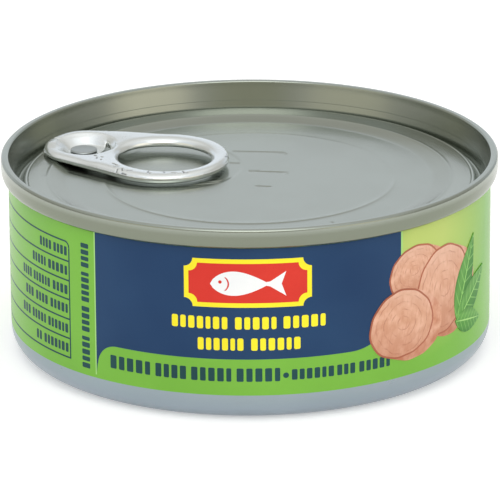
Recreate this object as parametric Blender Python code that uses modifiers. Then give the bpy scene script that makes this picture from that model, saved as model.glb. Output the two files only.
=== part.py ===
"""A shut tuna can with a ring-pull lid: a drawn steel body, a seamed easy-open lid and its tab.

Metres, +Z up. The origin is the middle of the base, on the surface that the can stands on.
The front of the print faces -Y, and the tab lies across the lid from the left.
"""
from math import asin, cos, pi, radians, sin

import bmesh
import bpy
from mathutils import Matrix, Vector

OBJECT = "tuna_can"
MM = 0.001

# Whole can
HEIGHT = 35.0 * MM
SEAM_RADIUS = 43.65 * MM
BODY_RADIUS = 42.35 * MM
GAP = 0.3 * MM
TURN_STEPS = 72

# Body: a round corner, a standing ring and a base panel above it
CORNER_RADIUS = 4.5 * MM
CORNER_STEPS = 6
STANDING_RING_WIDTH = 1.6 * MM
BASE_SLOPE = 1.4 * MM
BASE_RISE = 1.3 * MM
BASE_STEP_RADIUS = 27.0 * MM
BASE_STEP_RISE = 0.5 * MM

# Lid: the seam, the wall inside it, the groove at its foot and the panel
SHEET = 0.4 * MM
SEAM_HEIGHT = 3.4 * MM
SEAM_ROUND = 0.6 * MM
SEAM_TOP_WIDTH = 1.25 * MM
ROUND_STEPS = 3
WALL_FOOT_RADIUS = 41.05 * MM
WALL_FOOT_DEPTH = 4.8 * MM
GROOVE_DEPTH = 5.9 * MM
GROOVE_INNER_RADIUS = 39.95 * MM
PANEL_RADIUS = 39.6 * MM
PANEL_DEPTH = 4.45 * MM
SLOPE_OUTER_RADIUS = 36.6 * MM
SLOPE_INNER_RADIUS = 34.7 * MM
FLOOR_DEPTH = 4.85 * MM
RING_RADIUS = 25.5 * MM
RING_STEP = 0.15 * MM

# Tab: a pear outline with its narrow end over the rivet, near the seam
TAB_NOSE = Vector((-29.5 * MM, 13.1 * MM))
TAB_DIRECTION = radians(-23.3)
TAB_ROLL = radians(1.7)
TAB_TILT = radians(0.5)
TAB_NOSE_RADIUS = 7.1 * MM
TAB_RING_OFFSET = 15.8 * MM
TAB_RING_RADIUS = 11.4 * MM
TAB_WIDEN = 1.03
TAB_WAIST = 0.1 * MM
TAB_THICKNESS = 1.7 * MM
TAB_TOP_DEPTH = 2.48 * MM
TAB_EDGE_ROUND = 0.75 * MM
FINGER_HOLE_LENGTH = 17.0 * MM
FINGER_HOLE_WIDTH = 15.8 * MM
HOLE_STEPS = 40
OUTLINE_STEP = radians(7.5)
WAIST_STEPS = 6

# Tray that drops from the tab's nose to the rivet
TRAY_SHEET = 0.4 * MM
TRAY_LENGTH_RATIO = 1.12
TRAY_SHIFT = 1.0 * MM
TRAY_FLOOR_RADIUS = 3.6 * MM
TRAY_MOUTH_RADIUS = 5.2 * MM
SLOT_INNER_RADIUS = 3.5 * MM
SLOT_OUTER_RADIUS = 4.4 * MM
SLOT_HALF_ANGLE = radians(52)
SLOT_STEPS = 8
TRAY_STEPS = 36
NECK_HOLE_STEPS = 24
CUTTER_DEPTH = 8.0 * MM

# Rivet, drawn up from the lid's own metal, over the tray's floor
RIVET_NECK_RADIUS = 1.5 * MM
RIVET_HEAD_RADIUS = 2.7 * MM
RIVET_HEAD = 0.4 * MM
RIVET_STEPS = 28
TRAY_FLOOR = HEIGHT - FLOOR_DEPTH + GAP

WELD_DISTANCE = 0.005 * MM
SHARP_ANGLE = radians(35)

# Finishes: name, colour, roughness, metallic
STEEL = ("steel", (0.62, 0.66, 0.70), 0.32, 1.0)
LACQUER = ("lid_lacquer", (0.44, 0.46, 0.43), 0.26, 1.0)
ALUMINIUM = ("tab_aluminium", (0.86, 0.88, 0.90), 0.24, 1.0)


def clear_scene():
    """Start from an empty file."""
    for old in list(bpy.data.objects):
        bpy.data.objects.remove(old, do_unlink=True)


def new_collection(name):
    collection = bpy.data.collections.new(name)
    bpy.context.scene.collection.children.link(collection)
    return collection


def material(name, colour, roughness, metallic):
    """A plain metal finish."""
    finish = bpy.data.materials.new(name)
    finish.use_nodes = True
    shader = finish.node_tree.nodes["Principled BSDF"]
    shader.inputs["Base Color"].default_value = (*colour, 1.0)
    shader.inputs["Roughness"].default_value = roughness
    shader.inputs["Metallic"].default_value = metallic
    finish.diffuse_color = (*colour, 1.0)
    return finish


def arc(centre, radius, start, end, steps):
    """Points of a round stretch in a profile, both ends included."""
    points = []
    for step in range(steps + 1):
        angle = start + (end - start) * step / steps
        points.append((centre[0] + radius * cos(angle), centre[1] + radius * sin(angle)))
    return points


def as_mesh(source, name, collection):
    """Replace a curve or a modified object by its evaluated, welded and softly shaded mesh."""
    bpy.context.view_layer.update()
    evaluated = source.evaluated_get(bpy.context.evaluated_depsgraph_get())
    mesh = bpy.data.meshes.new_from_object(evaluated)
    mesh.name = name
    bpy.data.objects.remove(source, do_unlink=True)
    shape = bmesh.new()
    shape.from_mesh(mesh)
    bmesh.ops.remove_doubles(shape, verts=shape.verts, dist=WELD_DISTANCE)
    bmesh.ops.recalc_face_normals(shape, faces=shape.faces)
    shape.to_mesh(mesh)
    shape.free()
    mesh.shade_smooth()
    mesh.set_sharp_from_angle(angle=SHARP_ANGLE)
    piece = bpy.data.objects.new(name, mesh)
    collection.objects.link(piece)
    return piece


def turned(name, profile, steps, collection):
    """Turn a profile of (radius, height) points about the Z axis. Both its ends are on the axis."""
    mesh = bpy.data.meshes.new(name + "_profile")
    edges = [(i, i + 1) for i in range(len(profile) - 1)]
    mesh.from_pydata([(radius, 0.0, height) for radius, height in profile], edges, [])
    source = bpy.data.objects.new(name + "_profile", mesh)
    collection.objects.link(source)
    screw = source.modifiers.new("Turn", "SCREW")
    screw.steps = steps
    screw.render_steps = steps
    screw.use_merge_vertices = True
    screw.merge_threshold = WELD_DISTANCE
    return as_mesh(source, name, collection)


def body_profile():
    """The filled body, from the middle of its top down its outer side to the middle of its base."""
    seam_underside = HEIGHT - SEAM_HEIGHT
    floor_top = HEIGHT - FLOOR_DEPTH - SHEET - GAP
    groove_top = HEIGHT - GROOVE_DEPTH - SHEET - GAP
    lip_radius = WALL_FOOT_RADIUS + SHEET + GAP
    pocket_radius = GROOVE_INNER_RADIUS - SHEET - 2.0 * GAP
    wall_top = seam_underside - GAP
    ring_outer = BODY_RADIUS - CORNER_RADIUS
    ring_inner = ring_outer - STANDING_RING_WIDTH
    points = [
        (0.0, floor_top),
        (pocket_radius, floor_top),
        (pocket_radius, groove_top),
        (lip_radius, groove_top),
        (lip_radius, wall_top),
        (BODY_RADIUS, wall_top),
    ]
    points += arc((ring_outer, CORNER_RADIUS), CORNER_RADIUS, 0.0, -pi / 2.0, CORNER_STEPS)
    points += [
        (ring_inner, 0.0),
        (ring_inner - BASE_SLOPE, BASE_RISE),
        (BASE_STEP_RADIUS, BASE_RISE),
        (BASE_STEP_RADIUS - BASE_STEP_RISE, BASE_RISE + BASE_STEP_RISE),
        (0.0, BASE_RISE + BASE_STEP_RISE),
    ]
    return points


def lid_profile():
    """The lid's sheet with its solid seam, from the middle of the panel outwards and back below."""
    seam_underside = HEIGHT - SEAM_HEIGHT
    panel = HEIGHT - PANEL_DEPTH
    floor = HEIGHT - FLOOR_DEPTH
    wall_foot = HEIGHT - WALL_FOOT_DEPTH
    groove_radius = (WALL_FOOT_RADIUS - GROOVE_INNER_RADIUS) / 2.0
    groove_middle = (WALL_FOOT_RADIUS + GROOVE_INNER_RADIUS) / 2.0
    groove_centre = HEIGHT - GROOVE_DEPTH + groove_radius
    seam_inner = SEAM_RADIUS - SEAM_TOP_WIDTH
    points = [
        (0.0, floor),
        (RING_RADIUS - RING_STEP, floor),
        (RING_RADIUS, floor + RING_STEP),
        (RING_RADIUS + RING_STEP, floor),
        (SLOPE_INNER_RADIUS, floor),
        (SLOPE_OUTER_RADIUS, panel),
        (PANEL_RADIUS, panel),
        (GROOVE_INNER_RADIUS, panel - 2.0 * RING_STEP),
    ]
    points += arc((groove_middle, groove_centre), groove_radius, pi, 2.0 * pi, ROUND_STEPS + 1)
    points += [(WALL_FOOT_RADIUS, wall_foot)]
    points += arc((seam_inner + SEAM_ROUND, HEIGHT - SEAM_ROUND), SEAM_ROUND, pi, pi / 2.0, ROUND_STEPS)
    points += arc((SEAM_RADIUS - SEAM_ROUND, HEIGHT - SEAM_ROUND), SEAM_ROUND, pi / 2.0, 0.0, ROUND_STEPS)
    points += [
        (SEAM_RADIUS, seam_underside + SEAM_ROUND / 2.0),
        (SEAM_RADIUS - SEAM_ROUND / 2.0, seam_underside),
        (WALL_FOOT_RADIUS + SHEET, seam_underside),
        (WALL_FOOT_RADIUS + SHEET, HEIGHT - GROOVE_DEPTH),
        (WALL_FOOT_RADIUS, HEIGHT - GROOVE_DEPTH - SHEET),
        (GROOVE_INNER_RADIUS, HEIGHT - GROOVE_DEPTH - SHEET),
        (GROOVE_INNER_RADIUS - SHEET, HEIGHT - GROOVE_DEPTH),
        (GROOVE_INNER_RADIUS - SHEET, panel - SHEET - RING_STEP),
        (SLOPE_OUTER_RADIUS, panel - SHEET),
        (SLOPE_INNER_RADIUS, floor - SHEET),
        (0.0, floor - SHEET),
    ]
    return points


def rivet_profile():
    """A neck that starts inside the lid's sheet, and a flat head over the tab's tray."""
    foot = HEIGHT - FLOOR_DEPTH - SHEET / 2.0
    head_bottom = TRAY_FLOOR + TRAY_SHEET + GAP
    head_top = head_bottom + RIVET_HEAD
    edge = RIVET_HEAD / 4.0
    return [
        (0.0, head_top),
        (RIVET_HEAD_RADIUS - edge, head_top),
        (RIVET_HEAD_RADIUS, head_top - edge),
        (RIVET_HEAD_RADIUS, head_bottom),
        (RIVET_NECK_RADIUS, head_bottom),
        (RIVET_NECK_RADIUS, foot),
        (0.0, foot),
    ]


def waist(start, end, depth):
    """Points between two ends of a side, drawn in most at the middle."""
    points = []
    for step in range(1, WAIST_STEPS):
        part = step / WAIST_STEPS
        x = start[0] + (end[0] - start[0]) * part
        y = start[1] + (end[1] - start[1]) * part
        points.append((x, y - depth * sin(pi * part) ** 2))
    return points


def pear_outline():
    """Two arcs and the slightly hollow sides between them, anticlockwise, from the nose's centre."""
    slope = asin((TAB_RING_RADIUS - TAB_NOSE_RADIUS) / TAB_RING_OFFSET)
    tangent = pi / 2.0 + slope
    ring_steps = round(2.0 * tangent / OUTLINE_STEP)
    nose_steps = round(2.0 * (pi - tangent) / OUTLINE_STEP)
    ring_arc = arc((TAB_RING_OFFSET, 0.0), TAB_RING_RADIUS, -tangent, tangent, ring_steps)
    nose_arc = arc((0.0, 0.0), TAB_NOSE_RADIUS, tangent, 2.0 * pi - tangent, nose_steps)
    upper_side = waist(ring_arc[-1], nose_arc[0], TAB_WAIST)
    lower_side = waist(nose_arc[-1], ring_arc[0], -TAB_WAIST)
    outline = ring_arc + upper_side + nose_arc + lower_side
    return [(x, y * TAB_WIDEN) for x, y in outline]


def hole_outline():
    """The finger hole, clockwise, so that a curve reads it as a hole."""
    points = []
    for step in range(HOLE_STEPS):
        angle = -2.0 * pi * step / HOLE_STEPS
        x = TAB_RING_OFFSET + FINGER_HOLE_LENGTH / 2.0 * cos(angle)
        y = FINGER_HOLE_WIDTH / 2.0 * sin(angle)
        points.append((x, y))
    return points


def crescent_outline():
    """The slot beside the rivet, on the ring's side: a wide arc and a narrower one that meet it."""
    outer = arc((0.0, 0.0), SLOT_OUTER_RADIUS, -SLOT_HALF_ANGLE, SLOT_HALF_ANGLE, SLOT_STEPS)
    inner = arc((0.0, 0.0), SLOT_INNER_RADIUS, SLOT_HALF_ANGLE, -SLOT_HALF_ANGLE, SLOT_STEPS)
    return outer + inner


def plate(name, outlines, thickness, edge_round, collection):
    """A flat plate with round edges: filled closed outlines, as a mesh."""
    curve = bpy.data.curves.new(name, "CURVE")
    curve.dimensions = "2D"
    curve.fill_mode = "BOTH"
    curve.extrude = thickness / 2.0 - edge_round
    curve.bevel_depth = edge_round
    curve.bevel_resolution = 1
    curve.offset = -edge_round
    for outline in outlines:
        spline = curve.splines.new("POLY")
        spline.points.add(len(outline) - 1)
        for point, (x, y) in zip(spline.points, outline):
            point.co = (x, y, 0.0, 1.0)
        spline.use_cyclic_u = True
    source = bpy.data.objects.new(name + "_outline", curve)
    collection.objects.link(source)
    return as_mesh(source, name, collection)


def frustum(name, low, high, radii, steps, stretch, shift, collection):
    """A cone frustum between two heights, stretched along the tab and moved towards its ring."""
    mesh = bpy.data.meshes.new(name)
    shape = bmesh.new()
    bmesh.ops.create_cone(
        shape, cap_ends=True, segments=steps, radius1=radii[0], radius2=radii[1], depth=high - low
    )
    longer = Matrix.Diagonal((stretch, 1.0, 1.0, 1.0))
    place = Matrix.Translation((shift, 0.0, (low + high) / 2.0))
    bmesh.ops.transform(shape, matrix=place @ longer, verts=shape.verts)
    shape.to_mesh(mesh)
    shape.free()
    piece = bpy.data.objects.new(name, mesh)
    collection.objects.link(piece)
    return piece


def tray_form(name, low, high, radii, collection):
    """The tray's outside or its inside, longer towards the ring."""
    return frustum(name, low, high, radii, TRAY_STEPS, TRAY_LENGTH_RATIO, TRAY_SHIFT, collection)


def neck_hole(collection):
    """The hole in the tray for the rivet's neck."""
    radius = RIVET_NECK_RADIUS + GAP
    low = TRAY_FLOOR - CUTTER_DEPTH / 2.0
    high = TRAY_FLOOR + CUTTER_DEPTH / 2.0
    return frustum("neck_hole", low, high, (radius, radius), NECK_HOLE_STEPS, 1.0, 0.0, collection)


def combine(piece, other, operation):
    """Join or cut with another mesh, and keep the other one out of the render."""
    step = piece.modifiers.new(operation.title() + "_" + other.name, "BOOLEAN")
    step.operation = operation
    step.solver = "EXACT"
    step.object = other
    other.hide_render = True
    other.display_type = "WIRE"


def place_on_tab(piece, height):
    """Turn a piece from the tab's own axes to where the tab lies on the lid."""
    piece.location = (TAB_NOSE.x, TAB_NOSE.y, height)
    piece.rotation_euler = (0.0, 0.0, TAB_DIRECTION)


def make_body(parts):
    body = turned("can_body", body_profile(), TURN_STEPS, parts)
    body.data.materials.append(material(*STEEL))


def make_lid(parts, cutters):
    """The lid with its rivet, which is one piece of metal with it."""
    lid = turned("can_lid", lid_profile(), TURN_STEPS, parts)
    rivet = turned("rivet_stock", rivet_profile(), RIVET_STEPS, cutters)
    rivet.location = (TAB_NOSE.x, TAB_NOSE.y, 0.0)
    combine(lid, rivet, "UNION")
    lid.data.materials.append(material(*LACQUER))


def make_tab(parts, cutters):
    """The ring-pull: a rounded plate with a finger hole, lowest on its front side, and a tray."""
    tab_middle = HEIGHT - TAB_TOP_DEPTH - TAB_THICKNESS / 2.0
    tray_wall = TRAY_MOUTH_RADIUS - TRAY_FLOOR_RADIUS
    outside_radii = (TRAY_FLOOR_RADIUS + TRAY_SHEET / 2.0, TRAY_FLOOR_RADIUS + tray_wall)
    inside_radii = (TRAY_FLOOR_RADIUS, TRAY_MOUTH_RADIUS + TRAY_SHEET)

    tab = plate("pull_tab", [pear_outline(), hole_outline()], TAB_THICKNESS, TAB_EDGE_ROUND, parts)
    outside = tray_form("tray_outside", TRAY_FLOOR, tab_middle, outside_radii, cutters)
    inside = tray_form("tray_inside", TRAY_FLOOR + TRAY_SHEET, HEIGHT + GAP, inside_radii, cutters)
    slot = plate("tray_slot", [crescent_outline()], CUTTER_DEPTH, 0.0, cutters)
    neck = neck_hole(cutters)

    place_on_tab(tab, tab_middle)
    tab.rotation_euler.x = TAB_ROLL
    tab.rotation_euler.y = TAB_TILT
    place_on_tab(outside, 0.0)
    place_on_tab(inside, 0.0)
    place_on_tab(slot, TRAY_FLOOR)
    place_on_tab(neck, 0.0)
    combine(tab, outside, "UNION")
    combine(tab, inside, "DIFFERENCE")
    combine(tab, slot, "DIFFERENCE")
    combine(tab, neck, "DIFFERENCE")
    tab.data.materials.append(material(*ALUMINIUM))


def main():
    clear_scene()
    parts = new_collection(OBJECT)
    cutters = new_collection("cutters")
    make_body(parts)
    make_lid(parts, cutters)
    make_tab(parts, cutters)


main()
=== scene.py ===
# %% [markdown]
# # A shut tuna can with a ring-pull lid
#
# The can is a low drawn steel body, a lacquered easy-open lid seamed on to it, and an aluminium
# tab that a rivet holds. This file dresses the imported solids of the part: it loads them as a fixed
# frame, models finer pieces at the same sizes, and gives each one its finish. Every piece keeps
# the place that the frame gives it, so that the looks and the solids stay one object.

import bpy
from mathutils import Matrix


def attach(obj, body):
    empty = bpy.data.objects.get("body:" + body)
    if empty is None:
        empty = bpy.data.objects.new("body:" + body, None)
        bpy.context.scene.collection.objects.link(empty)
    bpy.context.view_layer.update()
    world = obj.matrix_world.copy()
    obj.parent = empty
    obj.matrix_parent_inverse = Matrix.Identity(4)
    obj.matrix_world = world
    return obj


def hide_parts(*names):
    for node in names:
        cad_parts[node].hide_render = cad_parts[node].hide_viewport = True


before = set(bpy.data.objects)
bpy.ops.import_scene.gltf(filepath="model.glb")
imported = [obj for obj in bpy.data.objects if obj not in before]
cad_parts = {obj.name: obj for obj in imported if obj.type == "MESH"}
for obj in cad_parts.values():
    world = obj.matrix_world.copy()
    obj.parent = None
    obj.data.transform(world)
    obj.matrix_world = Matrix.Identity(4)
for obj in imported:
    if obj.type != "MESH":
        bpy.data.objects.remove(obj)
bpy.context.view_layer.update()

import math

import bmesh
import bpy
from mathutils import Matrix, Vector

MM = 0.001
print("frame nodes:", sorted(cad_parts))

# %% [markdown]
# ## Camera
#
# The can is seen from a little under a metre away through a long lens, from 18 degrees above the
# rim, so its round rim is a narrow ellipse. A short lens close up could give the same framing, but
# it would swell the near side of the rim. The camera is placed by its distance and angle from the
# middle of the rim, then tilted until the can sits in the middle of a square picture.

# %% Camera
RIM_HEIGHT = 35.0 * MM
CAMERA_DISTANCE = 880.2 * MM
CAMERA_RISE = math.radians(17.716)
CAMERA_TILT = math.radians(18.848)
CAMERA_ROLL = math.radians(-0.347)
CAMERA_LENS = 361.07

camera_data = bpy.data.cameras.new("camera")
camera_data.lens = CAMERA_LENS
camera_data.sensor_width = 36.0
camera_data.clip_start = 0.05
camera_data.clip_end = 50.0
camera = bpy.data.objects.new("camera", camera_data)
bpy.context.scene.collection.objects.link(camera)
camera_place = Vector((
    0.0,
    -CAMERA_DISTANCE * math.cos(CAMERA_RISE),
    RIM_HEIGHT + CAMERA_DISTANCE * math.sin(CAMERA_RISE),
))
looking = Matrix.Rotation(math.pi / 2.0 - CAMERA_TILT, 4, "X") @ Matrix.Rotation(CAMERA_ROLL, 4, "Z")
camera.matrix_world = Matrix.Translation(camera_place) @ looking
bpy.context.scene.camera = camera
print("camera at", [round(c, 4) for c in camera_place])

# %% [markdown]
# ## Hand tools
#
# Most pieces start the same way as by hand: a small plane is merged to a single point, the point
# is extruded along a drawn line, and the line is spun round the can's axis or filled with a face.
# These helpers do the picking that a hand does with the mouse. Each one first lets go of all that
# is selected, because an operator acts on everything that still is.

# %% Helpers that pick and draw
def deselect():
    """Object mode, with nothing selected."""
    if bpy.context.mode != "OBJECT":
        bpy.ops.object.mode_set(mode="OBJECT")
    bpy.ops.object.select_all(action="DESELECT")


def pick(piece):
    """Only this piece is selected, and active."""
    deselect()
    piece.select_set(True)
    bpy.context.view_layer.objects.active = piece


def edit(piece):
    """Edit mode on one piece, with all of it selected."""
    pick(piece)
    bpy.ops.object.mode_set(mode="EDIT")
    bpy.ops.mesh.select_all(action="SELECT")


def select_where(piece, kind, test):
    """In edit mode, select the vertices, edges or faces that pass a test, and say how many."""
    shape = bmesh.from_edit_mesh(piece.data)
    bpy.ops.mesh.select_all(action="DESELECT")
    bpy.ops.mesh.select_mode(type=kind)
    parts = {"VERT": shape.verts, "EDGE": shape.edges, "FACE": shape.faces}[kind]
    found = [part for part in parts if test(part)]
    for part in found:
        part.select_set(True)
    shape.select_flush_mode()
    bmesh.update_edit_mesh(piece.data)
    return len(found)


def start_point(name, place):
    """A new piece of one vertex, in edit mode, from a plane that is merged to its middle."""
    deselect()
    bpy.ops.mesh.primitive_plane_add(size=MM, location=(0.0, 0.0, 0.0))
    piece = bpy.context.object
    piece.name = piece.data.name = name
    bpy.ops.object.mode_set(mode="EDIT")
    bpy.ops.mesh.select_mode(type="VERT")
    bpy.ops.mesh.merge(type="CENTER")
    bpy.ops.transform.translate(value=place)
    return piece


def draw_on(points):
    """Extrude the selected vertex from the first of the points to each next one."""
    for start, end in zip(points, points[1:]):
        step = tuple(b - a for a, b in zip(start, end))
        bpy.ops.mesh.extrude_region_move(TRANSFORM_OT_translate={"value": step})


def arc(centre, radius, start, end, steps):
    """Points of a round stretch, with both its ends. Angles in degrees, two radii for an ellipse."""
    across, up = radius if isinstance(radius, tuple) else (radius, radius)
    turns = [math.radians(start + (end - start) * i / steps) for i in range(steps + 1)]
    return [(centre[0] + across * math.cos(t), centre[1] + up * math.sin(t)) for t in turns]


def clean(piece):
    """Merge doubles, then turn every face outwards."""
    edit(piece)
    bpy.ops.mesh.remove_doubles(threshold=0.002 * MM)
    bpy.ops.mesh.normals_make_consistent(inside=False)
    deselect()


def smooth(piece, angle=35.0):
    pick(piece)
    bpy.ops.object.shade_smooth_by_angle(angle=math.radians(angle))
    deselect()


def apply_all(piece):
    """Apply the piece's modifiers, first to last."""
    pick(piece)
    for modifier in list(piece.modifiers):
        bpy.ops.object.modifier_apply(modifier=modifier.name)
    deselect()


def spun(name, profile, steps):
    """Draw a profile of (radius, height) points in millimetres and spin it round the axis."""
    points = [(radius * MM, 0.0, height * MM) for radius, height in profile]
    piece = start_point(name, points[0])
    draw_on(points)
    bpy.ops.mesh.select_all(action="SELECT")
    bpy.ops.mesh.spin(steps=steps, angle=2.0 * math.pi, center=(0.0, 0.0, 0.0), axis=(0.0, 0.0, 1.0))
    clean(piece)
    return piece


def report(piece):
    print(f"{piece.name}: {len(piece.data.vertices)} vertices, {len(piece.data.polygons)} faces")


# %% [markdown]
# ## The body
#
# The real body is one cup of tinned steel, drawn from a disc, with a round lower corner, a narrow
# ring that it stands on and a base panel that is pressed up. A cylinder with a bevel would give the
# outside, but not the stepped base, so the whole profile is drawn and spun. The print stops where
# the corner starts: the ring of points at that height parts the printed wall from the bare tin.

# %% Body
STEPS = 360
WALL_RADIUS = 42.35
PRINT_FOOT = 5.0
WALL_TOP = 31.3

body_profile = [(0.0, 29.3), (38.95, 29.3), (38.95, 28.2), (41.75, 28.2), (41.75, WALL_TOP)]
body_profile += [(WALL_RADIUS - 0.1, WALL_TOP), (WALL_RADIUS, WALL_TOP - 0.1)]
body_profile += [(WALL_RADIUS, z) for z in (28.0, 24.0, 20.0, 16.0, 12.0, 8.0, PRINT_FOOT, 4.8)]
body_profile += arc((37.85, 4.5), 4.5, 0.0, -90.0, 20)
body_profile += [(37.0, 0.0), (36.25, 0.0), (35.95, 0.12), (35.2, 0.95), (34.85, 1.25), (34.5, 1.3)]
body_profile += [(31.0, 1.3), (27.3, 1.3), (27.0, 1.34), (26.6, 1.7), (26.2, 1.8)]
body_profile += [(20.0, 1.8), (14.2, 1.8), (14.0, 1.85), (13.8, 1.8), (7.0, 1.8), (0.0, 1.8)]
body = spun("body", body_profile, STEPS)
smooth(body)
report(body)

# %% [markdown]
# ## The lid
#
# The lid is pressed from thin lacquered steel: a double seam at the rim, a wall that drops inside
# it, a groove at the wall's foot, a panel edge with the score line that lets it tear, a sloping
# step and a floor with a pressed ring. All of that is round, so it is spun from one profile. What
# isn't round is pressed in afterwards: a shallow dish under the tab, a recess in the step under its
# nose, and a few short lines. A finer mesh is needed only there, so those faces are subdivided and
# the points then sink by a rule. The ring also sinks towards the back, where it hardly shows.

# %% Lid, spun
PANEL_FLOOR = 30.12
PANEL_EDGE = 30.7
lid_profile = [(float(r), PANEL_FLOOR) for r in range(25)]
lid_profile += [(r, PANEL_FLOOR + rise) for r, rise in (
    (24.8, 0.005), (25.1, 0.03), (25.35, 0.075), (25.55, 0.1), (25.75, 0.075), (26.0, 0.03), (26.3, 0.003),
)]
lid_profile += [(float(r), PANEL_FLOOR) for r in range(27, 32)]
lid_profile += [
    (31.8, PANEL_FLOOR), (32.2, 30.13), (32.6, 30.18), (33.1, 30.26), (33.6, 30.36), (34.1, 30.46),
    (34.6, 30.57), (34.95, 30.65), (35.15, 30.72), (35.3, 30.755), (35.45, 30.745), (35.7, 30.71),
    (36.0, PANEL_EDGE), (37.0, PANEL_EDGE), (38.7, PANEL_EDGE), (38.95, 30.69), (39.02, 30.63),
    (39.12, 30.63), (39.2, 30.68), (39.45, 30.65), (39.62, 30.55), (39.76, 30.35), (39.84, 30.0),
]
lid_profile += arc((40.5, 29.65), 0.6, 180.0, 360.0, 10)
lid_profile += [(41.12, 30.0), (41.27, 30.6), (41.52, 31.6), (41.77, 32.6), (42.02, 33.6), (42.22, 34.4)]
lid_profile += arc((42.6, 34.65), 0.35, 168.0, 90.0, 8) + arc((43.1, 34.46), 0.54, 90.0, 4.0, 10)
lid_profile += [
    (43.64, 34.1), (43.63, 33.5), (43.6, 32.9), (43.56, 32.4), (43.46, 32.0), (43.26, 31.7),
    (43.0, 31.6), (42.4, 31.6), (41.5, 31.6), (41.5, 29.1), (41.1, 28.7), (39.9, 28.7), (39.5, 29.1),
    (39.5, 30.1), (38.6, 30.3), (37.6, 30.2), (36.4, 29.85), (31.9, 29.72), (17.0, 29.72), (0.0, 29.72),
]
lid = spun("lid", lid_profile, STEPS)
report(lid)

# %% Lid, pressed marks
TAB_NOSE = (-29.5, 13.1)
TAB_TURN = math.radians(-23.3)
TAB_LENGTH = 15.8
NOSE_RADIUS = 7.1
RING_RADIUS = 11.75
DISH_REACH = 2.3
DISH_DEPTH = 0.08
MARK_DEPTH = 0.09
MARK_WIDTH = 0.22
MARKS = [
    ((-2.8, 15.1), (5.9, 14.3)), ((5.9, 14.3), (6.6, 13.4)), ((0.0, 3.5), (6.0, 2.8)),
    ((6.0, 2.8), (6.6, 2.0)), ((1.2, -5.0), (3.6, -5.3)), ((-3.4, 8.5), (-1.9, 8.3)),
    ((-36.0, 0.2), (-35.7, 4.0)), ((-35.7, 4.0), (-35.1, 7.7)), ((-9.9, -3.9), (-5.4, -2.7)),
    ((-8.6, -2.7), (-5.2, -1.7)), ((14.0, -25.2), (14.2, -25.2)),
]


def tab_axes(x, y):
    """From the can's axes to the tab's own, in millimetres: along the tab, and across it."""
    dx, dy = x - TAB_NOSE[0], y - TAB_NOSE[1]
    along = dx * math.cos(TAB_TURN) + dy * math.sin(TAB_TURN)
    across = -dx * math.sin(TAB_TURN) + dy * math.cos(TAB_TURN)
    return along, across


def from_tab(along, across):
    """From the tab's own axes to the can's."""
    x = TAB_NOSE[0] + along * math.cos(TAB_TURN) - across * math.sin(TAB_TURN)
    y = TAB_NOSE[1] + along * math.sin(TAB_TURN) + across * math.cos(TAB_TURN)
    return x, y


def pear_gap(along, across):
    """Distance outside the tab's pear outline, negative inside it."""
    across = abs(across)
    narrowing = (NOSE_RADIUS - RING_RADIUS) / TAB_LENGTH
    flat = math.sqrt(1.0 - narrowing * narrowing)
    place = flat * along - narrowing * across
    if place < 0.0:
        return math.hypot(along, across) - NOSE_RADIUS
    if place > flat * TAB_LENGTH:
        return math.hypot(along - TAB_LENGTH, across) - RING_RADIUS
    return flat * across + narrowing * along - NOSE_RADIUS


def near_line(x, y, start, end):
    """Distance to a short straight line."""
    px, py = x - start[0], y - start[1]
    lx, ly = end[0] - start[0], end[1] - start[1]
    part = max(0.0, min(1.0, (px * lx + py * ly) / (lx * lx + ly * ly)))
    return math.hypot(px - part * lx, py - part * ly)


def ease(value):
    """0 below 0, 1 above 1, and a soft change between."""
    value = max(0.0, min(1.0, value))
    return value * value * (3.0 - 2.0 * value)


def dish_sink(x, y):
    """How far the dish under the tab lies below the panel, in millimetres."""
    inside = ease((DISH_REACH - pear_gap(*tab_axes(x, y))) / 0.9)
    return DISH_DEPTH * inside * ease((32.8 - math.hypot(x, y)) / 1.2)


def nose_sink(x, y, z):
    """The slope's recess under the tab's tray, down to the panel, in millimetres."""
    along, across = tab_axes(x, y)
    return max(0.0, z - PANEL_FLOOR - 0.12) * ease((6.4 - math.hypot(along - 0.8, across)) / 1.2)


def ring_sink(x, y, z):
    """How far the pressed ring is flattened towards the back, in millimetres."""
    if abs(math.hypot(x, y) - 25.5) > 1.2:
        return 0.0
    return max(0.0, z - PANEL_FLOOR) * 0.75 * ease((y + 8.0) / 24.0)


def mark_sink(x, y):
    """How far the short pressed lines lie below the panel, in millimetres."""
    nearest = min(near_line(x, y, *mark) for mark in MARKS)
    return MARK_DEPTH * ease(1.0 - nearest / (2.0 * MARK_WIDTH))


def needs_points(face):
    """Faces of the panel that a mark or the dish's edge crosses."""
    place = face.calc_center_median() / MM
    if place.z < PANEL_FLOOR - 0.1 or face.normal.z < 0.5 or place.xy.length > 33.1:
        return False
    by_edge = abs(pear_gap(*tab_axes(place.x, place.y)) - DISH_REACH + 0.45) < 1.1
    by_mark = min(near_line(place.x, place.y, *mark) for mark in MARKS) < 0.8
    return by_edge or by_mark


edit(lid)
print("faces made finer:", select_where(lid, "FACE", needs_points))
bpy.ops.mesh.subdivide(number_cuts=3)
deselect()
for vertex in lid.data.vertices:
    x, y, z = vertex.co / MM
    if z > PANEL_FLOOR - 0.1 and math.hypot(x, y) < 38.0:
        sink = dish_sink(x, y) + mark_sink(x, y) + ring_sink(x, y, z) + nose_sink(x, y, z)
        vertex.co.z -= sink * MM
smooth(lid, 40.0)
report(lid)

# %% [markdown]
# ## The rivet
#
# On the real lid the rivet is drawn up from the lid's own sheet, pushed through the tab and
# flattened. It shows as a grey disc in the tab's tray. A squashed sphere would be too domed: its
# head is nearly flat with a faint dimple, so it has a drawn profile as well.

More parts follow.
